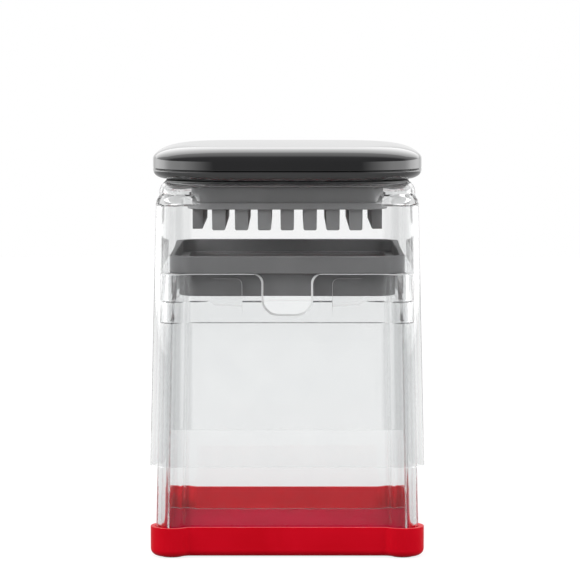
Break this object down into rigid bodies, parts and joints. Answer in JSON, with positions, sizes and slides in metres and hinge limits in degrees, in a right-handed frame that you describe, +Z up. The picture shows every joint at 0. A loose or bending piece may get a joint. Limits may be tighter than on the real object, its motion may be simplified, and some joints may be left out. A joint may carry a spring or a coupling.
{
  "type": "french fry cutter",
  "caption": "Push-down french fry cutter: a clear sleeve with a palm lid and a plate of pins slides down over a clear container with a lift-out blade grid, on a red tray.",
  "frame": {"origin": "on the table, under the middle of the base", "axes": "+Z up along the press stroke, front towards -Y, +X to the right seen from the front"},
  "size_m": [0.12, 0.12, 0.179],
  "materials": {
    "base_red": "satin moulded",
    "foot_rubber": "matt",
    "container_clear": "polished clear",
    "sleeve_clear": "polished clear",
    "insert_grey": "satin moulded",
    "blade_steel": "ground edge",
    "lid_grey": "gloss",
    "lid_dark": "gloss",
    "screw_steel": "plated"
  },
  "bodies": {
    "base": {"base_tray": "base_red", "foot_1": "foot_rubber", "foot_2": "foot_rubber", "foot_3": "foot_rubber", "foot_4": "foot_rubber"},
    "container": {"container": "container_clear"},
    "insert": {"insert_collar": "insert_grey", "insert_skirt": "insert_grey", "blade_long_1": "blade_steel", "blade_long_2": "blade_steel", "blade_long_3": "blade_steel", "blade_long_4": "blade_steel", "blade_long_5": "blade_steel", "blade_long_6": "blade_steel", "blade_long_7": "blade_steel", "blade_long_8": "blade_steel", "blade_cross_1": "blade_steel", "blade_cross_2": "blade_steel", "blade_cross_3": "blade_steel", "blade_cross_4": "blade_steel", "blade_cross_5": "blade_steel", "blade_cross_6": "blade_steel", "blade_cross_7": "blade_steel", "blade_cross_8": "blade_steel"},
    "press": {"sleeve": "sleeve_clear", "pusher": "insert_grey", "pusher_pins": "insert_grey", "lid_lower": "lid_grey", "lid_cap": "lid_dark", "lid_screws": "screw_steel"}
  },
  "joints": [
    {"name": "container_lift", "type": "slide", "parent": "base", "child": "container", "axis": [0, 0, 1], "range_m": [0, 0.03]},
    {"name": "insert_lift", "type": "slide", "parent": "container", "child": "insert", "axis": [0, 0, 1], "range_m": [0, 0.03]},
    {"name": "press_stroke", "type": "slide", "parent": "insert", "child": "press", "axis": [0, 0, 1], "range_m": [-0.0266, 0.1]}
  ]
}
